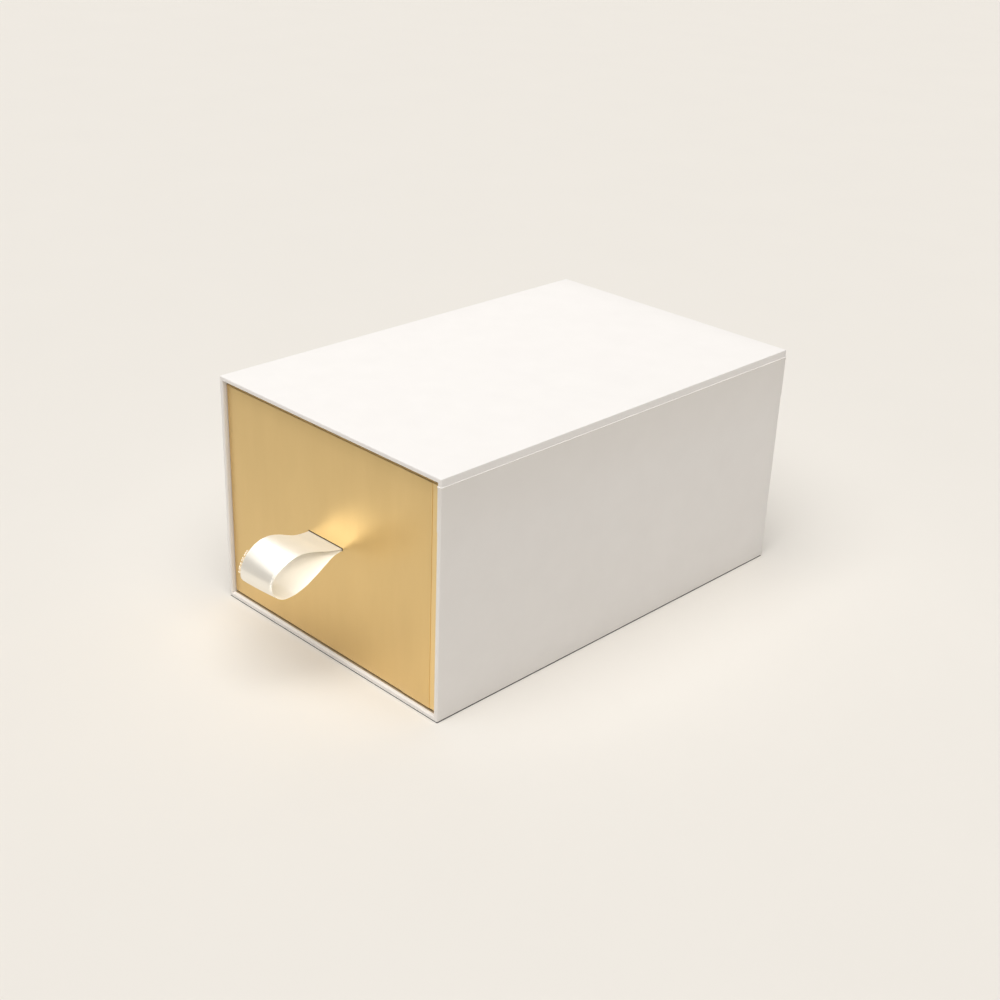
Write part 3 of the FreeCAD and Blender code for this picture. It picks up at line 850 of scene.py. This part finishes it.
# %% Ribbon
columns = 16
ribbon_thickness = 0.10 * MM
belly = 0.16 * MM
free_after = 4 * MM               # outside the slot: from here on the cloth bellies in full
soft_bend = math.radians(50)      # bends up to this are shaded smooth

bpy.ops.object.select_all(action="DESELECT")
bpy.ops.mesh.primitive_grid_add(x_subdivisions=columns, y_subdivisions=rows, size=1)
satin_pull = bpy.context.object
satin_pull.name = satin_pull.data.name = "satin_pull"
cloth = satin_pull.data
while len(cloth.uv_layers):
    cloth.uv_layers.remove(cloth.uv_layers[0])
cloth_map = cloth.uv_layers.new(name="cloth")


def row_of(flat):
    """The row that a place on the flat grid belongs to."""
    return round((flat.y + 0.5) * rows)


for loop in cloth.loops:
    flat = cloth.vertices[loop.vertex_index].co
    cloth_map.data[loop.index].uv = ((flat.x + 0.5) * ribbon_width / map_unit,
                                     along[row_of(flat)] / map_unit)
for corner in cloth.vertices:
    row, across = row_of(corner.co), corner.co.x + 0.5
    before, after = middle_line[max(row - 1, 0)], middle_line[min(row + 1, rows)]
    outwards = (after - before).cross(RIGHT).normalized()
    freedom = min(1.0, max(0.0, (drawer_low.y - middle_line[row].y) / free_after))
    rise = belly * freedom * (1 - (2 * across - 1) ** 2)
    corner.co = left_line[row].lerp(right_line[row], across) + outwards * rise
solid = satin_pull.modifiers.new("thickness", "SOLIDIFY")
solid.thickness = ribbon_thickness
solid.offset = 0
bpy.ops.object.modifier_apply(modifier=solid.name)
bpy.ops.object.shade_smooth_by_angle(angle=soft_bend)
cloth.materials.append(satin)
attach(satin_pull, "drawer")
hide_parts("pull_ribbon")
print(satin_pull.name, len(cloth.polygons), "faces")

# %% [markdown]
# ### Woven edges
#
# The cross thread turns back at each edge of the ribbon. Where the nose of the loop bends the cloth
# sharply, the edge opens and those turns stand up as tiny thread loops. One is a flattened ring
# that leans to the left, and a row of them runs round the nose, a piece for each side.

# %% Woven edges
picot_pitch = 0.85 * MM
picot_reach, picot_thread = 0.42 * MM, 0.09 * MM
picot_rise = 0.10 * MM            # a thread loop's middle above the cloth
picot_lean = math.radians(30)     # how steeply a thread loop stands up from the cloth
picot_flat = 0.55                 # its size along the edge beside its size outwards
left_inset, right_inset = 0.25 * MM, 0.40 * MM
nose_from, nose_low, nose_high = 21.5 * MM, -5.2 * MM, 1.0 * MM


def picot_places(line):
    """Where the thread loops stand along an edge, each with the way that the edge runs there."""
    places = []
    travelled, next_picot = 0.0, picot_pitch / 2
    for first, last in zip(line, line[1:]):
        step = last - first
        travelled += step.length
        out, up = drawer_low.y - first.y, first.z - ribbon_z
        if travelled < next_picot or out < nose_from or not nose_low < up < nose_high:
            continue
        next_picot = max(next_picot, travelled - picot_pitch / 2) + picot_pitch
        places.append((first, step.normalized()))
    return places


def picot_edge(name, line, inset):
    """The row of thread loops along one edge of the ribbon, as one piece."""
    rings = []
    bpy.ops.object.select_all(action="DESELECT")
    for place, forward in picot_places(line):
        outwards = forward.cross(RIGHT)
        reach = outwards * math.sin(picot_lean) - RIGHT * math.cos(picot_lean)
        turn = Matrix((reach, forward, reach.cross(forward))).transposed().to_4x4()
        bpy.ops.mesh.primitive_torus_add(major_segments=10, minor_segments=5,
                                         major_radius=picot_reach, minor_radius=picot_thread)
        ring = bpy.context.object
        ring.matrix_world = (Matrix.Translation(place + outwards * picot_rise - RIGHT * inset)
                             @ turn @ Matrix.Diagonal((1.0, picot_flat, 1.0, 1)))
        rings.append(ring)
    for ring in rings:
        ring.select_set(True)
    bpy.ops.object.join()
    row = bpy.context.object
    row.name = row.data.name = name
    bpy.ops.object.transform_apply(location=True, rotation=True, scale=True)
    bpy.ops.object.shade_smooth()
    row.data.materials.append(satin_thread)
    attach(row, "drawer")
    print(name, len(rings), "thread loops,", len(row.data.polygons), "faces")
    return row


woven_edges = [picot_edge("picot_edge_left", left_line, left_inset),
               picot_edge("picot_edge_right", right_line, right_inset)]

# %% [markdown]
# ### Two cards for the ribbon
#
# The inside of the loop lies in the ribbon's own shade. A photographer would hold a white card
# beside it, and the gold front throws warm light back into it from behind. Two soft lamps stand in
# for these. Light linking lets them light the ribbon alone, so that they throw no pool of light on
# the floor, and the light from the gold has no shadow, since it comes from everywhere behind.

# %% Ribbon's cards
lit_by_cards = bpy.data.collections.new("lit_by_cards")
for piece in [satin_pull, *woven_edges]:
    lit_by_cards.objects.link(piece)

cards = {                         # where from, strength, width, colour, shadow
    "white_card": ((0.87, -0.24, 0.68), 0.72, 24, (1.0, 0.925, 0.80), True),
    "gold_card": ((0.45, 0.75, 0.35), 0.63, 60, (1.0, 0.88, 0.68), False),
}
for name, (card_from, strength, width, colour, shadow) in cards.items():
    bpy.ops.object.light_add(type="SUN", location=(0, 0, 1))
    card = bpy.context.object
    card.name = name
    card.rotation_euler = Vector(card_from).to_track_quat("Z", "Y").to_euler()
    card.data.energy = strength * math.pi
    card.data.angle = math.radians(width)
    card.data.color = colour
    card.data.use_shadow = shadow
    card.light_linking.receiver_collection = lit_by_cards
